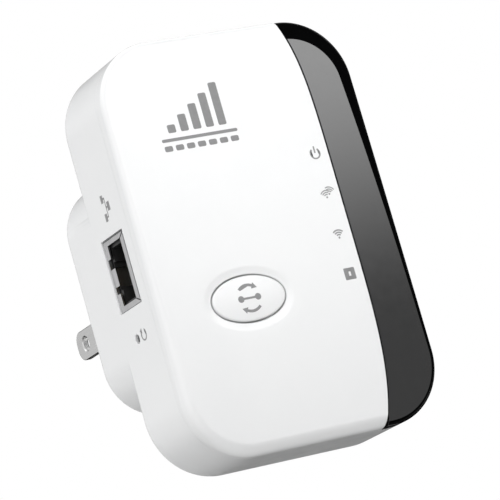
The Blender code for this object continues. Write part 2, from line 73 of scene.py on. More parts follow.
# Case: the CAD's sizes, with finer gaps and edges
SKIN_INSET = 0.02 * MM  # leaves the printed marks room inside the CAD's box
CORNER = 14 * MM
WALL = 2 * MM
BODY_DEPTH = 21.3 * MM
BOSS_TOP = 23.3 * MM
BOSS_BOTTOM = -28 * MM
BOSS_CORNER = 11.3 * MM
FRONT_ROUND = 2 * MM
COVER_ROUND = 1.1 * MM
COVER_ROUND_GROWTH = 1.5 * MM
COVER_STEPS = 10
REAR_ROUND = 1.5 * MM
SEAM = 0.06 * MM
STRIP_X = 19 * MM
STRIP_SWEEP_TOP = 3.9 * MM
STRIP_SWEEP_BOTTOM = 4.7 * MM
STRIP_GAP = 0.36 * MM
STRIP_EDGE = 0.3 * MM
STRIP_SKIN = 1.3 * MM
LIP_INSET = 1.7 * MM
LIP_FRONT = 0.75 * MM
LIP_BACK = 1.25 * MM
LIP_OVERLAP = 0.01 * MM
BAND_WIDTH = 1.62 * MM
BAND_SPREAD = 1.6 * MM
BAND_FLARE = 1.0 * MM
BAND_TILT = math.radians(13)
BAND_CREASE = 0.03 * MM
BAND_EDGE = 0.5 * MM
SCREW_X = 22 * MM
SCREW_Z = 37 * MM
SCREW_PILOT = 1.4 * MM
SCREW_WELL = 2.6 * MM
SCREW_FLARE = 3.0 * MM
SCREW_PAD = 3.8 * MM
POST_RADIUS = 2.75 * MM
POST_LENGTH = 15.3 * MM
TONGUE_FRONT = 2.15 * MM
TONGUE_BACK = 5.5 * MM
TONGUE_THICK = 0.9 * MM
RESET_Y = 13.1 * MM
RESET_Z = -14.4 * MM
RESET_HOLE = 2 * MM
BLADE_HOLE = 3.1 * MM
BLADE_HOLE_OUT = 11.9 * MM
BLADE_NOSE = 2.6 * MM
BLADE_EDGE = 0.22 * MM
BLADE_FLARE = 0.45 * MM
BLADE_FLARE_OUT = 0.95 * MM
SLOT_ROOM = 0.2 * MM
COLLAR_ROOM = 1.1 * MM
COLLAR_DEPTH = 0.35 * MM
PAST_WALL = 36 * MM  # the far end of the cutters that open the wall face
LABEL_LEFT = -7 * MM
LABEL_RIGHT = 25 * MM
LABEL_BOTTOM = -21 * MM
LABEL_TOP = 17 * MM
LABEL_CORNER = 2 * MM
LABEL_INSET = 0.5 * MM
VENT_ROWS = (("top", 33.5 * MM), ("bottom", -36 * MM))
VENT_COUNT = 7
VENT_PITCH = 4 * MM
VENT_HALF_WIDE = 0.8 * MM
VENT_HALF_TALL = 4 * MM
VENT_ROUND = 0.75 * MM

# Button
BUTTON_PROUD = 0.28 * MM
BUTTON_FLANGE = 1.2 * MM
BUTTON_DOME = 0.13 * MM
BUTTON_GAP = 0.29 * MM
BUTTON_RIM = 0.35 * MM
BUTTON_X = (BUTTON_LOW.x + BUTTON_HIGH.x) / 2 - CENTRE.x
BUTTON_Z = (BUTTON_LOW.z + BUTTON_HIGH.z) / 2 - CENTRE.z
BUTTON_WIDE = BUTTON_HIGH.x - BUTTON_LOW.x - 2 * BUTTON_FLANGE
BUTTON_TALL = BUTTON_HIGH.z - BUTTON_LOW.z - 2 * BUTTON_FLANGE
DISH_REACH = 2.2 * MM
DISH_DEPTH = 0.11 * MM

# Socket
WINDOW_FROM = 8.95 * MM
WINDOW_TO = 15.55 * MM
WINDOW_WIDE = 13.2 * MM
NOTCH_WIDE = 7.6 * MM
NOTCH_TO = 16.95 * MM
SOCKET_WIDE = 11.9 * MM
SOCKET_DEPTH = 13 * MM
CONTACT_COUNT = 8
CONTACT_PITCH = 1.02 * MM

PRINT_PROUD = 0.012 * MM
PRINT_DEEP = 0.05 * MM

# Camera, placed from the middle of the front face
CAMERA_PLACE = Vector((-337.1, -605.9, -121.7)) * MM
CAMERA_AZIMUTH = math.radians(28.67)
CAMERA_ELEVATION = math.radians(9.77)
CAMERA_ROLL = math.radians(15.9)
CAMERA_LENS = 242.8

# Studio: radiance of each part of the sky, the key's watts, the floor's metres
SKY_TOP = 1.12
SKY_LEFT = 0.9
SKY_LEFT_LOW = 0.64
SKY_FRONT = 0.7
SKY_AMBIENT = 0.02
SOFTBOX = 5.9
SOFTBOX_FOOT = 0.95
KEY_POWER = 7.6
FLAG = (0.906, 0.423)  # the way, in x and y, that the dark studio flag stands
FLOOR_RADIUS = 0.45
FLOOR_BELOW = 0.6

PIECES = bpy.data.collections.new("visible_pieces")
bpy.context.scene.collection.children.link(PIECES)
TOOLS = []


# ---------------------------------------------------------------- materials


def node(tree, kind, **inputs):
    made = tree.nodes.new(kind)
    for name, value in inputs.items():
        made.inputs[name.replace("_", " ")].default_value = value
    return made


def noise(tree, scale, detail=4.0, roughness=0.55):
    """Noise fixed to the object's own coordinates, in metres."""
    place = tree.nodes.new("ShaderNodeTexCoord")
    made = node(tree, "ShaderNodeTexNoise", Scale=scale, Detail=detail, Roughness=roughness)
    tree.links.new(place.outputs["Object"], made.inputs["Vector"])
    return made


def spread(tree, source, low, high, start=0.3, end=0.7):
    made = tree.nodes.new("ShaderNodeMapRange")
    made.inputs["From Min"].default_value = start
    made.inputs["From Max"].default_value = end
    made.inputs["To Min"].default_value = low
    made.inputs["To Max"].default_value = high
    tree.links.new(source, made.inputs["Value"])
    return made.outputs["Result"]


def tint(tree, source, first, second):
    made = tree.nodes.new("ShaderNodeMix")
    made.data_type = "RGBA"
    made.inputs["A"].default_value = (*first, 1)
    made.inputs["B"].default_value = (*second, 1)
    tree.links.new(source, made.inputs["Factor"])
    return made.outputs["Result"]


def bump(tree, shader, height, strength, distance):
    made = tree.nodes.new("ShaderNodeBump")
    made.inputs["Strength"].default_value = strength
    made.inputs["Distance"].default_value = distance
    tree.links.new(height, made.inputs["Height"])
    tree.links.new(made.outputs["Normal"], shader.inputs["Normal"])


def surface(name, first, second, rough, grain, relief=(0.0, 0.0), **fixed):
    """A Principled material whose colour and roughness drift between two values.

    rough is (least, most); grain is the noise scale of the drift, per metre; relief is
    (noise scale, height in metres) of a fine bump.
    """
    made = bpy.data.materials.new(name)
    made.use_nodes = True
    tree = made.node_tree
    shader = tree.nodes["Principled BSDF"]
    drift = noise(tree, grain).outputs["Fac"]
    tree.links.new(tint(tree, spread(tree, drift, 0, 1), first, second), shader.inputs["Base Color"])
    tree.links.new(spread(tree, noise(tree, grain * 2.3).outputs["Fac"], *rough), shader.inputs["Roughness"])
    if relief[1]:
        bump(tree, shader, noise(tree, relief[0], 2.0).outputs["Fac"], 0.5, relief[1])
    for socket, value in fixed.items():
        shader.inputs[socket.replace("_", " ")].default_value = value
    return made


def white_plastic():
    return surface("white_gloss_plastic", (0.80, 0.805, 0.81), (0.815, 0.82, 0.822), (0.2, 0.26), 60,
                   relief=(2600, 0.004 * MM), IOR=1.5)


def smoked_plastic():
    return surface("smoked_gloss_plastic", (0.0009, 0.0009, 0.001), (0.0016, 0.0016, 0.0018),
                   (0.05, 0.08), 180, relief=(900, 0.0006 * MM), IOR=1.52)


def brushed_metal(name, first, second, rough, across, scale=260):
    """Metal with fine drawing lines: noise stretched along one axis."""
    made = bpy.data.materials.new(name)
    made.use_nodes = True
    tree = made.node_tree
    shader = tree.nodes["Principled BSDF"]
    shader.inputs["Metallic"].default_value = 1.0
    place = tree.nodes.new("ShaderNodeTexCoord")
    squeeze = tree.nodes.new("ShaderNodeMapping")
    squeeze.inputs["Scale"].default_value = across
    lines = node(tree, "ShaderNodeTexNoise", Scale=scale, Detail=5.0, Roughness=0.6)
    tree.links.new(place.outputs["Object"], squeeze.inputs["Vector"])
    tree.links.new(squeeze.outputs["Vector"], lines.inputs["Vector"])
    fac = lines.outputs["Fac"]
    tree.links.new(tint(tree, spread(tree, fac, 0, 1), first, second), shader.inputs["Base Color"])
    tree.links.new(spread(tree, fac, *rough), shader.inputs["Roughness"])
    bump(tree, shader, fac, 0.3, 0.01 * MM)
    return made


def circuit_board():
    """Green solder mask with paler copper areas under it and fine weave."""
    made = bpy.data.materials.new("green_solder_mask")
    made.use_nodes = True
    tree = made.node_tree
    shader = tree.nodes["Principled BSDF"]
    place = tree.nodes.new("ShaderNodeTexCoord")
    cells = node(tree, "ShaderNodeTexVoronoi", Scale=420.0)
    cells.distance = "CHEBYCHEV"
    tree.links.new(place.outputs["Object"], cells.inputs["Vector"])
    traces = spread(tree, cells.outputs["Distance"], 0, 1, 0.28, 0.34)
    colour = tint(tree, traces, (0.02, 0.17, 0.06), (0.012, 0.10, 0.04))
    tree.links.new(colour, shader.inputs["Base Color"])
    tree.links.new(spread(tree, traces, 0.3, 0.42, 0, 1), shader.inputs["Roughness"])
    bump(tree, shader, traces, 0.4, 0.03 * MM)
    return made


def light_film():
    return surface("blank_label_film", (0.70, 0.71, 0.72), (0.74, 0.745, 0.75), (0.38, 0.5), 500,
                   relief=(5000, 0.003 * MM))


MATERIALS = {
    "white_plastic": white_plastic(),
    "smoked_plastic": smoked_plastic(),
    "clear_plastic": surface("clear_light_guide", (0.84, 0.88, 0.9), (0.9, 0.93, 0.95), (0.06, 0.12), 300,
                             Transmission_Weight=0.9, IOR=1.49),
    "black_plastic": surface("black_moulded_plastic", (0.012, 0.012, 0.012), (0.024, 0.024, 0.024),
                             (0.35, 0.5), 800, relief=(6000, 0.01 * MM)),
    "cream_plastic": surface("cream_moulded_plastic", (0.72, 0.70, 0.62), (0.8, 0.78, 0.7), (0.4, 0.55), 500,
                             relief=(4000, 0.008 * MM)),
    "circuit_board": circuit_board(),
    "nickel": brushed_metal("nickel_plate", (0.58, 0.58, 0.58), (0.72, 0.72, 0.715), (0.22, 0.34),
                            across=(1, 0.06, 1)),
    "steel": brushed_metal("stamped_steel", (0.50, 0.50, 0.51), (0.62, 0.62, 0.62), (0.25, 0.4),
                           across=(1, 1, 0.08)),
    "gold_plate": brushed_metal("gold_plate", (0.78, 0.56, 0.2), (0.9, 0.7, 0.32), (0.15, 0.3),
                                across=(0.1, 1, 1)),
    "ferrite": surface("pressed_ferrite", (0.03, 0.03, 0.034), (0.07, 0.07, 0.075), (0.5, 0.7), 1500,
                       relief=(5000, 0.02 * MM)),
    "yellow_tape": surface("wound_yellow_film", (0.78, 0.56, 0.06), (0.88, 0.68, 0.12), (0.25, 0.4), 400,
                           relief=(1500, 0.02 * MM)),
    "blue_epoxy": surface("dipped_blue_epoxy", (0.03, 0.14, 0.45), (0.05, 0.2, 0.55), (0.2, 0.35), 600,
                          relief=(1200, 0.03 * MM)),
    "label_film": light_film(),
    "red_insulation": surface("red_wire_insulation", (0.42, 0.02, 0.02), (0.55, 0.04, 0.03), (0.35, 0.5), 700,
                              relief=(3000, 0.01 * MM)),
    "grey_insulation": surface("grey_wire_insulation", (0.16, 0.16, 0.17), (0.24, 0.24, 0.25),
                               (0.4, 0.55), 700, relief=(3000, 0.01 * MM)),
    "print": surface("grey_pad_print", (0.245, 0.245, 0.247), (0.275, 0.275, 0.277), (0.5, 0.6), 900,
                     relief=(7000, 0.003 * MM)),
}


# ------------------------------------------------------------ mesh building


def even_normals(obj):
    """Keep flat faces flat-shaded where they meet rounded edges."""
    step = obj.modifiers.new("even_normals", "WEIGHTED_NORMAL")
    step.keep_sharp = True
    step.weight = 100


def finish_mesh(name, shape, material=None, sharp=32):
    mesh = bpy.data.meshes.new(name)
    bmesh.ops.recalc_face_normals(shape, faces=shape.faces)
    shape.to_mesh(mesh)
    shape.free()
    mesh.shade_smooth()
    mesh.set_sharp_from_angle(angle=math.radians(sharp))
    made = bpy.data.objects.new(name, mesh)
    made.location = CENTRE
    PIECES.objects.link(made)
    if material:
        mesh.materials.append(MATERIALS[material])
    return made


def piece(obj, body="housing", replaces=()):
    """Finish a visible piece: even its normals, hang it from its body and hide the CAD parts it stands for.
    """
    even_normals(obj)
    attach(obj, body)
    if replaces:
        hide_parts(*replaces)
    return obj


def rounded_outline(wide, bottom, top, corner, corner_steps=20, side_steps=6):
    """Points (x, z, normal x, normal z) round a rounded rectangle, counter-clockwise."""
    half = wide / 2 - corner
    centres = [(half, bottom + corner, -90), (half, top - corner, 0),
               (-half, top - corner, 90), (-half, bottom + corner, 180)]
    points = []
    for index, (cx, cz, start) in enumerate(centres):
        for step in range(corner_steps + 1):
            angle = math.radians(start + 90 * step / corner_steps)
            nx, nz = math.cos(angle), math.sin(angle)
            points.append((cx + corner * nx, cz + corner * nz, nx, nz))
        next_x, next_z, next_start = centres[(index + 1) % 4]
        nx, nz = points[-1][2], points[-1][3]
        end = (next_x + corner * nx, next_z + corner * nz)
        begin = (points[-1][0], points[-1][1])
        for step in range(1, side_steps):
            share = step / side_steps
            points.append((begin[0] + (end[0] - begin[0]) * share,
                           begin[1] + (end[1] - begin[1]) * share, nx, nz))
    return points


def oval_outline(wide, tall, sides=96, grow=0.0):
    """Points round an ellipse, moved out along its normals by grow."""
    points = []
    for step in range(sides):
        angle = 2 * math.pi * step / sides
        x, z = wide / 2 * math.cos(angle), tall / 2 * math.sin(angle)
        nx, nz = math.cos(angle) * tall, math.sin(angle) * wide
        length = math.hypot(nx, nz)
        nx, nz = nx / length, nz / length
        points.append((x + nx * grow, z + nz * grow, nx, nz))
    return points


def loft(outline, rings, at=(0, 0)):
    """Closed solid through rings of one outline. A ring is a function that gives
    (inset along the normal, y) for an outline point; the first and last are capped."""
    shape = bmesh.new()
    rows = []
    for ring in rings:
        row = []
        for x, z, nx, nz in outline:
            inset, y = ring(x, z)
            row.append(shape.verts.new((at[0] + x - nx * inset, y, at[1] + z - nz * inset)))
        rows.append(row)
    count = len(outline)
    for first, second in zip(rows, rows[1:]):
        for index in range(count):
            after = (index + 1) % count
            shape.faces.new((first[index], first[after], second[after], second[index]))
    shape.faces.new(rows[0])
    shape.faces.new(rows[-1])
    return shape


def ring(inset, y):
    return lambda x, z: (inset, y)


def quarter(radius, y, direction, steps=8, start=0.0):
    """Rings of a quarter-round rim: from the face (inset by radius) out to the side wall.
    direction is +1 where the side lies behind the face, -1 where it lies in front."""
    rings = []
    for step in range(steps + 1):
        angle = math.pi / 2 * step / steps
        rings.append(ring(start + radius * (1 - math.sin(angle)),
                          y + direction * radius * (1 - math.cos(angle))))
    return rings


def slab(name, wide, bottom, top, front, back, corner, front_round=0.0, back_round=0.0, material=None):
    rings = quarter(front_round, front, 1) if front_round else [ring(0, front)]
    rings += quarter(back_round, back, -1)[::-1] if back_round else [ring(0, back)]
    return finish_mesh(name, loft(rounded_outline(wide, bottom, top, corner), rings), material)


def block(name, low, high, material=None, rounding=0.0, axis=1, steps=4, tilt=0.0):
    low, high = Vector(low), Vector(high)
    middle, size = (low + high) / 2, high - low
    shape = bmesh.new()
    bmesh.ops.create_cube(shape, size=1, matrix=Matrix.Diagonal((*size, 1)))
    if rounding:
        edges = [e for e in shape.edges
                 if axis is None or abs((e.verts[1].co - e.verts[0].co).normalized()[axis]) > 0.99]
        bmesh.ops.bevel(shape, geom=edges, offset=rounding, segments=steps, profile=0.5, affect="EDGES")
    bmesh.ops.transform(shape, matrix=Matrix.Translation(middle) @ Matrix.Rotation(tilt, 4, "X"),
                        verts=shape.verts)
    return finish_mesh(name, shape, material)


AXES = {
    "x": Matrix.Rotation(math.radians(90), 4, "Y"),
    "y": Matrix.Rotation(math.radians(-90), 4, "X"),
    "z": Matrix.Identity(4),
}


def rod(name, radius, start, length, axis="y", material=None, sides=40, end_radius=None):
    shape = bmesh.new()
    bmesh.ops.create_cone(
        shape, cap_ends=True, segments=sides, radius1=radius,
        radius2=radius if end_radius is None else end_radius, depth=length,
        matrix=Matrix.Translation(start) @ AXES[axis] @ Matrix.Translation((0, 0, length / 2)))
    return finish_mesh(name, shape, material)


def merge(obj, operation, *others):
    for other in others:
        step = obj.modifiers.new(operation.lower(), "BOOLEAN")
        step.operation = operation
        step.object = other
        step.solver = "EXACT"
        TOOLS.append(other)
    return obj


def cut(obj, *others):
    return merge(obj, "DIFFERENCE", *others)


def join(obj, *others):
    return merge(obj, "UNION", *others)


def settle(obj, sharp=32):
    """Apply the modifiers, weld slivers and shade the result."""
    bpy.context.view_layer.update()
    graph = bpy.context.evaluated_depsgraph_get()
    mesh = bpy.data.meshes.new_from_object(obj.evaluated_get(graph))
    obj.modifiers.clear()
    obj.data = mesh
    shape = bmesh.new()
    shape.from_mesh(mesh)
    bmesh.ops.remove_doubles(shape, verts=shape.verts, dist=1e-6)
    bmesh.ops.dissolve_degenerate(shape, dist=1e-6, edges=shape.edges)
    shape.to_mesh(mesh)
    shape.free()
    mesh.shade_smooth()
    mesh.set_sharp_from_angle(angle=math.radians(sharp))
    return obj


def clear_tools():
    for tool in set(TOOLS):
        bpy.data.objects.remove(tool)
    TOOLS.clear()


def strip_edge(z):
    """Where the white front meets the smoked strip, at a height."""
    share = abs(z) / (HEIGHT / 2)
    if z > 0:
        return STRIP_X - STRIP_SWEEP_TOP * share ** 5.6
    return STRIP_X - STRIP_SWEEP_BOTTOM * share ** 4


def strip_region(name, shift, front, back):
    """Everything to the right of the strip's edge, moved sideways by shift."""
    reach, steps, far = HEIGHT / 2 + OVERSHOOT, 72, WIDTH / 2 + 5 * MM
    outline = []
    for step in range(steps + 1):
        z = -reach + 2 * reach * step / steps
        outline.append((strip_edge(z) + shift, z, 0, 0))
    outline += [(far, reach, 0, 0), (far, -reach, 0, 0)]
    return finish_mesh(name, loft(outline, [ring(0, front), ring(0, back)]))


# ------------------------------------------------------------ the case


def cover_round(z):
    """Radius of the cover's front edge: crisp on top, softer towards the bottom."""
    share = min(max(0.5 - z / HEIGHT, 0), 1)
    return COVER_ROUND + COVER_ROUND_GROWTH * share * share


def cover_rings():
    def round_edge(angle):
        return lambda x, z: (cover_round(z) * (1 - math.sin(angle)), cover_round(z) * (1 - math.cos(angle)))

    rings = [round_edge(math.pi / 2 * step / COVER_STEPS) for step in range(COVER_STEPS + 1)]
    return rings + [ring(0, COVER_DEPTH)]


def make_front_cover():
    half = HEIGHT / 2
    wide = WIDTH - 2 * SKIN_INSET
    outline = rounded_outline(wide, -half, half, CORNER)
    cover = finish_mesh("cover_skin", loft(outline, cover_rings()), "white_plastic")
    cut(cover, slab("cover_hollow", WIDTH - 2 * WALL, -half + WALL, half - WALL, WALL,
                    COVER_DEPTH + OVERSHOOT, CORNER - WALL))
    cut(cover, strip_region("cover_strip_cut", -STRIP_GAP / 2, -OVERSHOOT, COVER_DEPTH + OVERSHOOT))
    hole = oval_outline(BUTTON_WIDE, BUTTON_TALL, grow=DISH_REACH)
    cut(cover, finish_mesh("dish_hole", loft(hole, [ring(0, -OVERSHOOT), ring(0, WALL + OVERSHOOT)],
                                             (BUTTON_X, BUTTON_Z))))
    settle(cover)
    piece(cover, replaces=["front_cover"])
    make_button_dish()
    make_cover_posts()


def make_button_dish():
    """The shallow finger hollow round the button, flush with the cover at its rim."""
    outline = oval_outline(BUTTON_WIDE, BUTTON_TALL, grow=DISH_REACH)
    reach = DISH_REACH - BUTTON_GAP
    lip = 0.22 * MM
    rings = [ring(0.001 * MM, WALL), ring(0.001 * MM, 0.0)]
    steps = 14
    for step in range(1, steps + 1):
        share = step / steps
        rings.append(ring((reach - lip) * share, DISH_DEPTH * share * share * (3 - 2 * share)))
    for step in range(1, 6):
        angle = math.pi / 2 * step / 5
        rings.append(ring(reach - lip + lip * math.sin(angle), DISH_DEPTH + lip * (1 - math.cos(angle))))
    rings.append(ring(reach, WALL))
    shape = loft(outline, rings, (BUTTON_X, BUTTON_Z))
    caps = [f for f in shape.faces if len(f.verts) > 4]
    bmesh.ops.delete(shape, geom=caps, context="FACES_ONLY")
    open_rims = [e for e in shape.edges if len(e.link_faces) == 1]
    bmesh.ops.bridge_loops(shape, edges=open_rims)
    piece(finish_mesh("button_dish", shape, "white_plastic"))


def make_cover_posts():
    """Screw posts that stand behind the cover, out of sight once it is closed."""
    for number, (x, z) in enumerate(screw_places(), 1):
        post = rod(f"cover_post_{number}", POST_RADIUS, (x, WALL - 0.2 * MM, z), POST_LENGTH,
                   material="white_plastic")
        cut(post, rod("post_pilot", SCREW_PILOT, (x, 9 * MM, z), 9 * MM, sides=24))
        settle(post)
        piece(post)


def screw_places():
    return [(x, z) for z in (SCREW_Z, -SCREW_Z) for x in (-SCREW_X, SCREW_X)]


def strip_band(z):
    """Width of the strip's sloping rim: broad at the top, narrow towards the bottom."""
    share = z / (HEIGHT / 2)
    return BAND_WIDTH + BAND_SPREAD * share + BAND_FLARE * share * share


def strip_rings():
    """The flat face, a crease, the sloping rim and a small rounded outer edge."""
    slope, edge = math.tan(BAND_TILT), BAND_EDGE

    def on_band(beyond):
        return lambda x, z: (strip_band(z) - beyond, max(beyond - BAND_CREASE, 0) * slope)

    def round_edge(angle):
        return lambda x, z: (edge * (1 - math.sin(angle)),
                             (strip_band(z) - edge) * slope + edge * (math.cos(BAND_TILT) - math.cos(angle)))

    def before_edge(x, z):
        return (1.2 * edge, (strip_band(z) - 1.2 * edge) * slope)

    rings = [on_band(0), on_band(BAND_CREASE), before_edge]
    steps = 8
    rings += [round_edge(BAND_TILT + (math.pi / 2 - BAND_TILT) * step / steps) for step in range(steps + 1)]
    return rings + [ring(0, COVER_DEPTH)]


def make_side_strip():
    half = HEIGHT / 2
    outline = rounded_outline(WIDTH, -half, half, CORNER, 28, 16)
    strip = finish_mesh("smoked_strip", loft(outline, strip_rings()), "smoked_plastic", sharp=8)
    merge(strip, "INTERSECT", strip_region("strip_keep", STRIP_GAP / 2, -OVERSHOOT, COVER_DEPTH + OVERSHOOT))
    cut(strip, slab("strip_hollow", WIDTH - 2 * STRIP_SKIN, -half + STRIP_SKIN, half - STRIP_SKIN, STRIP_SKIN,
                    COVER_DEPTH + OVERSHOOT, CORNER - STRIP_SKIN))
    settle(strip, 8)
    soften_strip_edge(strip)
    piece(strip, replaces=["side_strip"])
    lip_outline = rounded_outline(WIDTH - 2 * LIP_INSET, -half + LIP_INSET, half - LIP_INSET,
                                  CORNER - LIP_INSET)
    lip = finish_mesh("strip_lip", loft(lip_outline, [ring(0, LIP_FRONT), ring(0, LIP_BACK)]),
                      "smoked_plastic")
    side = STRIP_GAP / 2 - LIP_OVERLAP
    merge(lip, "INTERSECT", strip_region("lip_keep", -side, -OVERSHOOT, LIP_BACK + OVERSHOOT))
    cut(lip, strip_region("lip_cut", side, -OVERSHOOT, LIP_BACK + OVERSHOOT))
    settle(lip)
    piece(lip)


def soften_strip_edge(strip):
    """Round the edge where the strip's face drops to the joint with the white cover."""
    shape = bmesh.new()
    shape.from_mesh(strip.data)
    edges = []
    for edge in shape.edges:
        ends = [v.co for v in edge.verts]
        on_curve = all(abs(c.x - strip_edge(c.z) - STRIP_GAP / 2) < 0.02 * MM for c in ends)
        on_face = all(c.y < FRONT_ROUND for c in ends)
        turned = len(edge.link_faces) == 2 and edge.calc_face_angle(0) > math.radians(40)
        if on_curve and on_face and turned:
            edges.append(edge)
    bmesh.ops.bevel(shape, geom=edges, offset=STRIP_EDGE, segments=4, profile=0.5, affect="EDGES",
                    clamp_overlap=True)
    shape.to_mesh(strip.data)
    shape.free()
    strip.data.shade_smooth()
    strip.data.set_sharp_from_angle(angle=math.radians(9))


def make_rear_housing():
    half = HEIGHT / 2
    wide = WIDTH - 2 * SKIN_INSET
    left = -wide / 2
    shell = slab("housing_skin", wide, -half, half, COVER_DEPTH + SEAM, BODY_DEPTH, CORNER,
                 back_round=REAR_ROUND, material="white_plastic")
    join(shell, slab("boss_outer", wide, BOSS_BOTTOM, BOSS_TOP, 12 * MM, TOTAL_DEPTH, BOSS_CORNER,
                     back_round=REAR_ROUND))
    cut(shell, slab("body_hollow", WIDTH - 2 * WALL, -half + WALL, half - WALL, 0, BODY_DEPTH - WALL,
                    CORNER - WALL))
    cut(shell, slab("boss_hollow", WIDTH - 2 * WALL, BOSS_BOTTOM + WALL, BOSS_TOP - WALL, 10 * MM,
                    TOTAL_DEPTH - WALL, BOSS_CORNER - WALL))
    y0, y1 = SHIELD_LOW.y - CENTRE.y, SHIELD_HIGH.y - CENTRE.y
    z0, z1 = SHIELD_LOW.z - CENTRE.z, SHIELD_HIGH.z - CENTRE.z
    side_room, end_room = 0.12 * MM, 0.22 * MM
    cut(shell, block("jack_hole", (left - OVERSHOOT, y0 - side_room, z0 - end_room),
                     (left + 4 * MM, y1 + side_room, z1 + end_room)))
    cut(shell, rod("reset_hole", RESET_HOLE / 2, (left - OVERSHOOT, RESET_Y, RESET_Z), 6 * MM, "x"),
        rod("reset_relief", RESET_HOLE * 0.85, (left + 0.7 * MM, RESET_Y, RESET_Z), 3 * MM, "x"),
        rod("reset_flare", RESET_HOLE / 2 + 0.25 * MM, (left - 0.1 * MM, RESET_Y, RESET_Z), 0.25 * MM, "x",
            end_radius=RESET_HOLE / 2))
    for number, (x, z) in enumerate(screw_places(), 1):
        join(shell, rod(f"screw_pad_{number}", SCREW_PAD, (x, 17.5 * MM, z), 2.3 * MM))
        cut(shell, rod(f"screw_well_{number}", SCREW_WELL, (x, 19.3 * MM, z), 3 * MM),
            rod(f"screw_flare_{number}", SCREW_WELL, (x, BODY_DEPTH - 0.3 * MM, z), 0.4 * MM,
                end_radius=SCREW_FLARE),
            rod(f"screw_way_{number}", SCREW_PILOT, (x, 17 * MM, z), 4 * MM, sides=24))
    cut_blade_slots(shell)
    cut(shell, block("label_recess", (LABEL_LEFT, TOTAL_DEPTH - LABEL_INSET, LABEL_BOTTOM),
                     (LABEL_RIGHT, PAST_WALL, LABEL_TOP), rounding=LABEL_CORNER, steps=8))
    for row, z in VENT_ROWS:
        for number in range(VENT_COUNT):
            x = (number - (VENT_COUNT - 1) / 2) * VENT_PITCH
            cut(shell, block(f"vent_{row}_{number}", (x - VENT_HALF_WIDE, 18 * MM, z - VENT_HALF_TALL),
                             (x + VENT_HALF_WIDE, 23 * MM, z + VENT_HALF_TALL), rounding=VENT_ROUND, steps=6))
    settle(shell)
    piece(shell, replaces=["rear_housing"])
    make_tongue()


def cut_blade_slots(shell):
    for name in ("left_blade", "right_blade"):
        low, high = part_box(name)
        x, z = (low.x + high.x) / 2 - CENTRE.x, (low.z + high.z) / 2 - CENTRE.z
        wide, tall = (high.x - low.x) / 2 + SLOT_ROOM, (high.z - low.z) / 2 + SLOT_ROOM
        collar_wide, collar_tall = wide + COLLAR_ROOM, tall + COLLAR_ROOM
        cut(shell, block(f"{name}_slot", (x - wide, 30 * MM, z - tall), (x + wide, PAST_WALL, z + tall),
                         rounding=0.3 * MM),
            block(f"{name}_collar", (x - collar_wide, TOTAL_DEPTH - COLLAR_DEPTH, z - collar_tall),
                  (x + collar_wide, PAST_WALL, z + collar_tall), rounding=0.9 * MM))


def make_tongue():
    """The lip of the rear housing that seats inside the cover and closes the seam."""
    half = HEIGHT / 2
    inset = WALL + 0.15 * MM
    outer = slab("seam_tongue", WIDTH - 2 * inset, -half + inset, half - inset, TONGUE_FRONT, TONGUE_BACK,
                 CORNER - inset, material="white_plastic")
    inner = inset + TONGUE_THICK
    cut(outer, slab("tongue_hollow", WIDTH - 2 * inner, -half + inner, half - inner,
                    TONGUE_FRONT - OVERSHOOT, TONGUE_BACK + OVERSHOOT, CORNER - inner))
    settle(outer)
    piece(outer)


# ------------------------------------------------------------ the button


def crown(x, z):
    """How far in front of the case's face the button's domed top stands."""
    share = (2 * x / BUTTON_WIDE) ** 2 + (2 * z / BUTTON_TALL) ** 2
    return BUTTON_PROUD - BUTTON_DOME * share


def make_button():
    outline = oval_outline(BUTTON_WIDE, BUTTON_TALL, 96)
    shape = bmesh.new()
    back = 3.3 * MM
    rows = []
    top = shape.verts.new((BUTTON_X, -crown(0, 0), BUTTON_Z))
    for step in range(1, 15):
        share = step / 14 * (1 - 2 * BUTTON_RIM / BUTTON_TALL)
        rows.append([(x * share, -crown(x * share, z * share), z * share) for x, z, _, _ in outline])
    edge_y = rows[-1][0][1]
    for step in range(1, 7):
        angle = math.pi / 2 * step / 6
        inward, down = BUTTON_RIM * (1 - math.sin(angle)), BUTTON_RIM * (1 - math.cos(angle))
        rows.append([(x - nx * inward, edge_y + down, z - nz * inward) for x, z, nx, nz in outline])
    for grow, y in ((0, 2.3 * MM), (BUTTON_FLANGE, 2.3 * MM), (BUTTON_FLANGE, back)):
        rows.append([(x + nx * grow, y, z + nz * grow) for x, z, nx, nz in outline])
    rings = [[shape.verts.new((BUTTON_X + x, y, BUTTON_Z + z)) for x, y, z in row] for row in rows]
    count = len(outline)
    for index in range(count):
        shape.faces.new((top, rings[0][index], rings[0][(index + 1) % count]))
    for first, second in zip(rings, rings[1:]):
        for index in range(count):
            after = (index + 1) % count
            shape.faces.new((first[index], first[after], second[after], second[index]))
    shape.faces.new(rings[-1])
    cap = finish_mesh("button_cap", shape, "white_plastic")
    stem_end = BUTTON_HIGH.y - CENTRE.y
    stem = rod("button_stem", 2 * MM, (BUTTON_X, back - 0.5 * MM, BUTTON_Z), stem_end - back + 0.5 * MM,
               material="white_plastic")
    join(cap, stem)
    settle(cap)
    piece(cap, "pairing_button", ["pairing_button"])


# ------------------------------------------------------------ the LAN socket


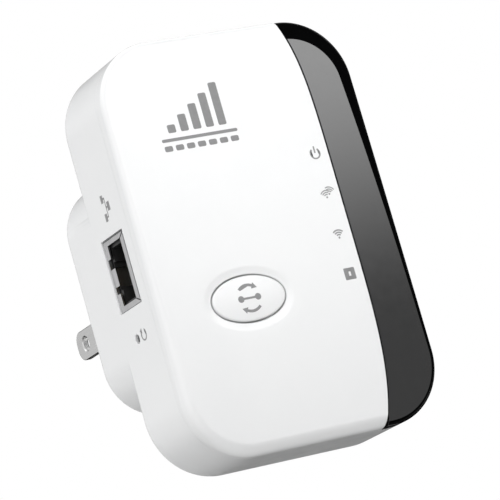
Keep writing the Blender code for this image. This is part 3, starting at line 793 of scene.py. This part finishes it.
def make_socket():
    x0, x1 = SHIELD_LOW.x - CENTRE.x, SHIELD_HIGH.x - CENTRE.x
    y0, y1 = SHIELD_LOW.y - CENTRE.y, SHIELD_HIGH.y - CENTRE.y
    z0, z1 = SHIELD_LOW.z - CENTRE.z, SHIELD_HIGH.z - CENTRE.z
    skin = 0.35 * MM
    can = block("socket_shield", (x0, y0, z0), (x1, y1, z1), "steel", 0.22 * MM, None, 3)
    cut(can, block("can_hollow", (x0 + skin, y0 + skin, z0 + skin), (x1 + OVERSHOOT, y1 - skin, z1 - skin)),
        block("can_window", (x0 - OVERSHOOT, WINDOW_FROM, -WINDOW_WIDE / 2),
              (x0 + OVERSHOOT, WINDOW_TO, WINDOW_WIDE / 2), rounding=0.15 * MM, axis=0),
        block("can_notch", (x0 - OVERSHOOT, WINDOW_TO - OVERSHOOT, -NOTCH_WIDE / 2),
              (x0 + OVERSHOOT, NOTCH_TO, NOTCH_WIDE / 2)))
    cut(can, block("can_groove", (x0 - OVERSHOOT, y0 + 0.62 * MM, z0 + 0.6 * MM),
                   (x0 + skin * 0.8, y0 + 0.82 * MM, z1 - 0.6 * MM)))
    join(can, block("latch_leaf", (x0 + 0.12 * MM, WINDOW_TO - 0.35 * MM, -2.2 * MM),
                    (x0 + 0.42 * MM, y1 - skin / 2, 1.7 * MM), rounding=0.1 * MM, axis=None, steps=2))
    for side in (-1, 1):
        corner_y, corner_z = (y0 + WINDOW_FROM) / 2, side * (WINDOW_WIDE / 2 + z1) / 2
        run, thin = 1.4 * MM, 0.13 * MM
        slope = math.atan2(side * (z1 - WINDOW_WIDE / 2), -(WINDOW_FROM - y0))
        cut(can, block(f"can_mitre_{side}", (x0 - OVERSHOOT, corner_y - run, corner_z - thin),
                       (x0 + skin * 1.3, corner_y + run, corner_z + thin), tilt=slope))
    settle(can)
    piece(can, replaces=["lan_jack_shield"])
    make_socket_core(x0)
    make_contacts()


def make_socket_core(x0):
    low, high = INSERT_LOW - CENTRE, INSERT_HIGH - CENTRE
    core = block("socket_core", low, high, "black_plastic", 0.12 * MM, None, 2)
    end = x0 + SOCKET_DEPTH
    cut(core, block("core_mouth", (x0 - 2 * MM, WINDOW_FROM, -SOCKET_WIDE / 2),
                    (end, WINDOW_TO - 0.05 * MM, SOCKET_WIDE / 2), rounding=0.2 * MM, axis=0),
        block("core_latch", (x0 - 2 * MM, WINDOW_TO - OVERSHOOT, -3.1 * MM),
              (end, high.y - 0.3 * MM, 3.1 * MM)),
        block("core_latch_open", (x0 - 2 * MM, WINDOW_TO - OVERSHOOT, -2.3 * MM),
              (x0 + 4.5 * MM, high.y + OVERSHOOT, 1.9 * MM)))
    for number in range(CONTACT_COUNT):
        z = (number - (CONTACT_COUNT - 1) / 2) * CONTACT_PITCH
        cut(core, block(f"core_slot_{number}", (x0 + 2.2 * MM, WINDOW_FROM - OVERSHOOT, z - 0.32 * MM),
                        (end + 0.5 * MM, WINDOW_FROM + 0.4 * MM, z + 0.32 * MM)))
    settle(core)
    piece(core, replaces=["lan_jack_insert"])


def make_contacts():
    """Spring wires: rooted deep in the socket, sloping out and hooked at the free end."""
    for number in range(1, CONTACT_COUNT + 1):
        low, high = (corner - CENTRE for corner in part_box(f"lan_contact_{number}"))
        z, wide = (low.z + high.z) / 2, (high.z - low.z) / 2
        span, rise = high.x - low.x, high.y - low.y
        path = [(0.0, 0.10), (0.05, 0.30), (0.14, 0.36), (0.5, 0.56), (0.78, 0.76), (0.9, 0.86), (0.97, 0.84),
                (0.985, 0.68)]
        shape = bmesh.new()
        rows = []
        for index, (along, up) in enumerate(path):
            before, after = path[max(index - 1, 0)], path[min(index + 1, len(path) - 1)]
            run = Vector(((after[0] - before[0]) * span, (after[1] - before[1]) * rise)).normalized()
            across = Vector((-run.y, run.x)) * 0.1 * MM
            x, y = low.x + along * span, low.y + up * rise
            rows.append([shape.verts.new((x + side * across.x, y + side * across.y, z + turn * wide))
                         for side, turn in ((-1, -1), (1, -1), (1, 1), (-1, 1))])
        for first, second in zip(rows, rows[1:]):
            for index in range(4):
                after = (index + 1) % 4
                shape.faces.new((first[index], first[after], second[after], second[index]))
        shape.faces.new(rows[0])
        shape.faces.new(rows[-1])
        bmesh.ops.bevel(shape, geom=list(shape.edges), offset=0.02 * MM, segments=2, profile=0.5,
                        affect="EDGES")
        piece(finish_mesh(f"contact_spring_{number}", shape, "gold_plate"),
              replaces=[f"lan_contact_{number}"])


# ------------------------------------------------------------ blades, screws


def make_blades():
    for name in ("left", "right"):
        low, high = (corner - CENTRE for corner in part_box(f"{name}_blade"))
        z, half = (low.z + high.z) / 2, (high.z - low.z) / 2
        outline = rounded_outline(high.y - low.y, -half, half, BLADE_NOSE, 12, 2)
        shape = loft(outline, quarter(BLADE_EDGE, 0, 1, 4) + quarter(BLADE_EDGE, high.x - low.x, -1, 4)[::-1])
        lay_flat = Matrix(((0, 1, 0, low.x), (1, 0, 0, (low.y + high.y) / 2), (0, 0, 1, z), (0, 0, 0, 1)))
        bmesh.ops.transform(shape, matrix=lay_flat, verts=shape.verts)
        blade = finish_mesh(f"{name}_prong", shape, "nickel")
        hole_y = TOTAL_DEPTH + BLADE_HOLE_OUT
        middle = (low.x + high.x) / 2
        hole = rod("prong_hole", BLADE_HOLE / 2, (low.x - OVERSHOOT, hole_y, z), 4 * MM, "x")
        flares = [rod(f"prong_flare_{side}", BLADE_HOLE / 2 + BLADE_FLARE,
                      (middle + side * BLADE_FLARE_OUT, hole_y, z), -side * BLADE_FLARE, "x",
                      end_radius=BLADE_HOLE / 2) for side in (-1, 1)]
        cut(blade, hole, *flares)
        settle(blade)
        piece(blade, replaces=[f"{name}_blade"])


def make_screws():
    for number, (x, z) in enumerate(screw_places(), 1):
        low, high = (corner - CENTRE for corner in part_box(f"case_screw_{number}"))
        head, shaft = (high.x - low.x) / 2, 1.1 * MM
        dome = 0.7 * MM
        outline = oval_outline(2 * head, 2 * head, 48)
        rings = [ring(head - shaft, low.y), ring(head - shaft, high.y - 1.5 * MM), ring(0, high.y - 1.5 * MM),
                 ring(0, high.y - dome)]
        for step in range(1, 8):
            angle = math.pi / 2 * step / 8
            rings.append(ring(head * 0.75 * (1 - math.cos(angle)), high.y - dome + dome * math.sin(angle)))
        rings.append(ring(head * 0.75, high.y))
        screw = finish_mesh(f"pan_head_{number}", loft(outline, rings, (x, z)), "steel")
        turn = math.radians(20 * number)
        for wide, tall in ((2.4, 0.5), (0.5, 2.4)):
            tool = block("drive_cut", (x - wide / 2 * MM, high.y - 0.9 * MM, z - tall / 2 * MM),
                         (x + wide / 2 * MM, high.y + OVERSHOOT, z + tall / 2 * MM))
            middle = Matrix.Translation((x, 0, z))
            tool.data.transform(middle @ Matrix.Rotation(turn, 4, "Y") @ middle.inverted())
            cut(screw, tool)
        settle(screw)
        piece(screw, replaces=[f"case_screw_{number}"])


# ------------------------------------------------------------ printed marks


def sector(cx, cz, inner, outer, start, end, steps=20):
    """Outline of a ring's sector, angles in degrees from +x towards +z."""
    angles = [math.radians(start + (end - start) * i / steps) for i in range(steps + 1)]
    out = [(cx + outer * math.cos(a), cz + outer * math.sin(a)) for a in angles]
    if inner <= 0:
        return out if abs(end - start) >= 360 else [*out, (cx, cz)]
    return out + [(cx + inner * math.cos(a), cz + inner * math.sin(a)) for a in reversed(angles)]


def bar(cx, cz, wide, tall, turn=0.0, corner=0.0):
    """Outline of a bar about its middle, with rounded corners, turned by degrees."""
    if corner:
        points = [(x, z) for x, z, _, _ in rounded_outline(wide, -tall / 2, tall / 2, corner, 4, 1)]
    else:
        points = [(-wide / 2, -tall / 2), (wide / 2, -tall / 2), (wide / 2, tall / 2), (-wide / 2, tall / 2)]
    c, s = math.cos(math.radians(turn)), math.sin(math.radians(turn))
    return [(cx + x * c - z * s, cz + x * s + z * c) for x, z in points]


def arrow_head(cx, cz, radius, angle, size, clockwise=True):
    """Triangle that ends a curved arrow on a circle."""
    a = math.radians(angle)
    way = -1 if clockwise else 1
    px, pz = cx + radius * math.cos(a), cz + radius * math.sin(a)
    tx, tz = -math.sin(a) * way, math.cos(a) * way
    nx, nz = math.cos(a), math.sin(a)
    return [(px + tx * size * 1.3, pz + tz * size * 1.3), (px + nx * size * 0.75, pz + nz * size * 0.75),
            (px - nx * size * 0.75, pz - nz * size * 0.75)]


def print_on(name, outlines, to_case, body="housing"):
    """Thin ink shapes. to_case turns (u, v, lift) into a case point."""
    shape = bmesh.new()
    for outline in outlines:
        rows = []
        for lift in (-PRINT_DEEP, PRINT_PROUD):
            rows.append([shape.verts.new(to_case(u, v, lift)) for u, v in outline])
        count = len(outline)
        for index in range(count):
            after = (index + 1) % count
            shape.faces.new((rows[0][index], rows[0][after], rows[1][after], rows[1][index]))
        faces = [shape.faces.new(row) for row in rows]
        bmesh.ops.triangulate(shape, faces=faces)
    ink = finish_mesh(name, shape, "print")
    ink.data.shade_flat()
    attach(ink, body)


def on_front(u, v, lift):
    return (u, -lift, v)


def on_left(u, v, lift):
    """u runs up the case, v runs towards the front: marks read with their top to the front."""
    return (-WIDTH / 2 + SKIN_INSET - lift, v, u)


def on_button(u, v, lift):
    return (BUTTON_X + u, -crown(u, v) - lift, BUTTON_Z + v)


def make_front_mark():
    """A generic mark: rising signal bars over a rule and a row of dashes."""
    centre_x, base = -9.8 * MM, 24.6 * MM
    shapes = []
    for step in range(5):
        tall = (1.8 + 1.9 * step) * MM
        shapes.append(bar(centre_x + (step - 2) * 3.0 * MM, base + tall / 2, 1.9 * MM, tall, 0, 0.35 * MM))
    shapes.append(bar(centre_x, 23.1 * MM, 18.0 * MM, 0.7 * MM, 0, 0.3 * MM))
    for step in range(7):
        shapes.append(bar(centre_x + (step - 3) * 2.62 * MM, 21.3 * MM, 1.9 * MM, 1.2 * MM, 0, 0.35 * MM))
    print_on("front_mark", shapes, on_front)


def make_indicator_icons():
    x = 15.7 * MM
    z = 15.1 * MM
    power = [sector(x, z, 0.95 * MM, 1.28 * MM, start, start + 145) for start in (125, 270)]
    power.append(bar(x, z + 0.85 * MM, 0.34 * MM, 1.5 * MM))
    print_on("icon_power", power, on_front)
    z = 6.4 * MM
    link = []
    for cx, cz, start in ((x - 0.15 * MM, z - 1.1 * MM, 62), (x + 0.6 * MM, z - 0.45 * MM, 30)):
        link += [sector(cx, cz, r * MM, (r + 0.24) * MM, start, start + 85, 12) for r in (0.5, 0.95, 1.4)]
        link.append(sector(cx, cz, 0, 0.22 * MM, 0, 360, 12)[:-1])
    print_on("icon_link", link, on_front)
    z = -3.7 * MM
    signal = [sector(x, z, r * MM, (r + 0.32) * MM, 46, 134, 14) for r in (0.5, 1.0, 1.5)]
    signal.append(sector(x, z, 0, 0.24 * MM, 0, 360, 12)[:-1])
    print_on("icon_signal", signal, on_front)
    z = -11.7 * MM
    port = [bar(x + side * 0.78 * MM, z, 1.06 * MM, 2.6 * MM, 0, 0.2 * MM) for side in (-1, 1)]
    port += [bar(x, z + side * 0.88 * MM, 0.7 * MM, 0.8 * MM) for side in (-1, 1)]
    print_on("icon_port", port, on_front)


def make_button_mark():
    shapes = []
    radius = 2.8 * MM
    for start in (0, 180):
        shapes.append(sector(0, 0, radius - 0.3 * MM, radius + 0.3 * MM, start + 62, start + 135, 16))
        shapes.append(arrow_head(0, 0, radius, start + 64, 0.95 * MM))
    shapes.append(bar(0, 0, 3.0 * MM, 0.45 * MM))
    shapes += [sector(side * 2.0 * MM, 0, 0, 0.72 * MM, 0, 360, 20)[:-1] for side in (-1, 1)]
    print_on("button_mark", shapes, on_button, "pairing_button")


def make_side_marks():
    """Left side: a small network tree by the socket, a turning arrow by the pinhole."""
    y, z = 10.6 * MM, 13.8 * MM
    tree = [bar(z, y - 1.1 * MM, 1.9 * MM, 1.2 * MM), bar(z, y - 0.25 * MM, 0.32 * MM, 0.7 * MM),
            bar(z, y + 0.1 * MM, 4.3 * MM, 0.32 * MM)]
    for side in (-1, 1):
        tree += [bar(z + side * 1.99 * MM, y + 0.45 * MM, 0.32 * MM, 0.6 * MM),
                 bar(z + side * 1.99 * MM, y + 1.2 * MM, 1.7 * MM, 1.1 * MM)]
    print_on("lan_mark", tree, on_left)
    z, y = -14.2 * MM, 9.6 * MM
    turn = [sector(z, y, 1.0 * MM, 1.34 * MM, start, start + 135) for start in (60, 195)]
    turn.append(arrow_head(z, y, 1.17 * MM, 60, 0.8 * MM))
    print_on("reset_mark", turn, on_left)


# ------------------------------------------------------------ CAD nodes kept


def dress_inner_nodes():
    """Give each CAD node that still shows its slot's procedural material."""
    for entry in frame["record"]["subparts"]:
        made = frame["nodes"][entry["node"]]
        made.data.materials.clear()
        made.data.materials.append(MATERIALS[entry["material_slot"]])


# ------------------------------------------------------------ stage


def make_camera():
    ahead, aside = math.cos(CAMERA_AZIMUTH), math.sin(CAMERA_AZIMUTH)
    flat = math.cos(CAMERA_ELEVATION)
    forward = Vector((aside * flat, ahead * flat, math.sin(CAMERA_ELEVATION)))
    level = Vector((ahead, -aside, 0))
    upright = level.cross(forward)
    up = upright * math.cos(CAMERA_ROLL) + level * math.sin(CAMERA_ROLL)
    right = forward.cross(up)
    camera = bpy.data.objects.new("camera", bpy.data.cameras.new("camera"))
    camera.data.sensor_width = 36
    camera.data.lens = CAMERA_LENS
    camera.data.clip_start = 0.02
    camera.data.clip_end = 20
    turn = Matrix((right, up, -forward)).transposed().to_4x4()
    camera.matrix_world = Matrix.Translation(CENTRE + CAMERA_PLACE) @ turn
    bpy.context.scene.collection.objects.link(camera)
    bpy.context.scene.camera = camera


def math_node(tree, operation, first, second=None, third=None):
    made = tree.nodes.new("ShaderNodeMath")
    made.operation = operation
    for index, value in enumerate((first, second, third)):
        if value is None:
            continue
        if isinstance(value, (int, float)):
            made.inputs[index].default_value = value
        else:
            tree.links.new(value, made.inputs[index])
    return made.outputs[0]


def step_between(tree, source, start, end):
    """0 below start, 1 above end, smooth between; start may be above end."""
    made = tree.nodes.new("ShaderNodeMapRange")
    made.interpolation_type = "SMOOTHSTEP"
    low, high = sorted((start, end))
    made.inputs["From Min"].default_value = low
    made.inputs["From Max"].default_value = high
    made.inputs["To Min"].default_value = 0.0 if start < end else 1.0
    made.inputs["To Max"].default_value = 1.0 if start < end else 0.0
    tree.links.new(source, made.inputs["Value"])
    return made.outputs["Result"]


def product(tree, *factors):
    total = factors[0]
    for factor in factors[1:]:
        total = math_node(tree, "MULTIPLY", total, factor)
    return total


def make_world():
    """A studio: pale on the left, above and in front, a tall soft box and a dark flag."""
    world = bpy.data.worlds.new("studio")
    bpy.context.scene.world = world
    world.use_nodes = True
    tree = world.node_tree
    background = tree.nodes["Background"]
    background.inputs["Color"].default_value = (1, 1, 1, 1)
    place = tree.nodes.new("ShaderNodeTexCoord")
    split = tree.nodes.new("ShaderNodeSeparateXYZ")
    tree.links.new(place.outputs["Generated"], split.inputs[0])
    x, y, z = split.outputs
    toward_flag = math_node(tree, "ADD", product(tree, x, FLAG[0]), product(tree, y, FLAG[1]))
    open_side = step_between(tree, toward_flag, 0.36, 0.22)
    left = product(tree, step_between(tree, x, -0.1, -0.5), step_between(tree, z, -0.6, -0.1), SKY_LEFT)
    left_low = product(tree, step_between(tree, x, -0.2, -0.6), step_between(tree, z, 0.0, -0.4),
                       step_between(tree, z, -0.77, -0.6), SKY_LEFT_LOW)
    front = product(tree, step_between(tree, y, -0.3, -0.7), step_between(tree, z, -0.3, 0.2),
                    step_between(tree, x, 0.25, 0.0), SKY_FRONT)
    glow = math_node(tree, "MULTIPLY_ADD", step_between(tree, z, 0.14, 0.226), SOFTBOX,
                     product(tree, step_between(tree, z, -0.12, -0.02), SOFTBOX_FOOT))
    box = product(tree, glow, step_between(tree, z, 0.42, 0.34), step_between(tree, y, -0.55, -0.75),
                  step_between(tree, x, -0.05, 0.2))
    overhead = math_node(tree, "MULTIPLY_ADD", step_between(tree, z, 0.58, 0.95), SKY_TOP, SKY_AMBIENT)
    light = math_node(tree, "ADD", math_node(tree, "ADD", left, left_low), math_node(tree, "ADD", front, box))
    light = math_node(tree, "MULTIPLY_ADD", light, open_side, overhead)
    rays = tree.nodes.new("ShaderNodeLightPath")
    shown = tree.nodes.new("ShaderNodeMix")
    tree.links.new(rays.outputs["Is Camera Ray"], shown.inputs["Factor"])
    tree.links.new(light, shown.inputs["A"])
    shown.inputs["B"].default_value = 1.0
    tree.links.new(shown.outputs["Result"], background.inputs["Strength"])


def add_light(name, kind, place, target, power, glossy=True):
    data = bpy.data.lights.new(name, kind)
    data.energy = power
    made = bpy.data.objects.new(name, data)
    made.location = CENTRE + Vector(place)
    aim = Vector(target) - Vector(place)
    made.rotation_euler = aim.to_track_quat("-Z", "Y").to_euler()
    made.visible_glossy = glossy
    bpy.context.scene.collection.objects.link(made)
    return data


def make_lights():
    """A snooted key on the front, and soft fills for the sides turned from the camera."""
    key = add_light("key_spot", "SPOT", (-0.05, -0.8, 0.35), (0, 0, 0.03), KEY_POWER, glossy=False)
    key.spot_size = math.radians(2 * 5.4)
    key.spot_blend = 0.75
    key.shadow_soft_size = 0.04
    for name, place, size, power in (("fill_right", (0.9, 0.25, 0.35), 0.6, 4.5),
                                     ("fill_back", (-0.1, 0.95, 0.35), 0.6, 4.0)):
        fill = add_light(name, "AREA", place, (0, 0.015, 0), power, glossy=False)
        fill.shape = "DISK"
        fill.size = size


def make_floor():
    """A plain pale disc well below the hanging object."""
    shape = bmesh.new()
    bmesh.ops.create_circle(shape, cap_ends=True, segments=96, radius=FLOOR_RADIUS)
    mesh = bpy.data.meshes.new("studio_floor")
    shape.to_mesh(mesh)
    shape.free()
    floor = bpy.data.objects.new("studio_floor", mesh)
    floor.location = (CENTRE.x, CENTRE.y, REAR_LOW.z - FLOOR_BELOW)
    mesh.materials.append(surface("floor_paper", (0.86, 0.86, 0.855), (0.88, 0.88, 0.875), (0.7, 0.85), 6))
    bpy.context.scene.collection.objects.link(floor)


bpy.context.scene.view_settings.view_transform = "Standard"
make_camera()
dress_inner_nodes()
make_front_cover()
make_side_strip()
make_rear_housing()
make_button()
make_socket()
make_blades()
make_screws()
clear_tools()
make_front_mark()
make_indicator_icons()
make_button_mark()
make_side_marks()
make_floor()
make_world()
make_lights()
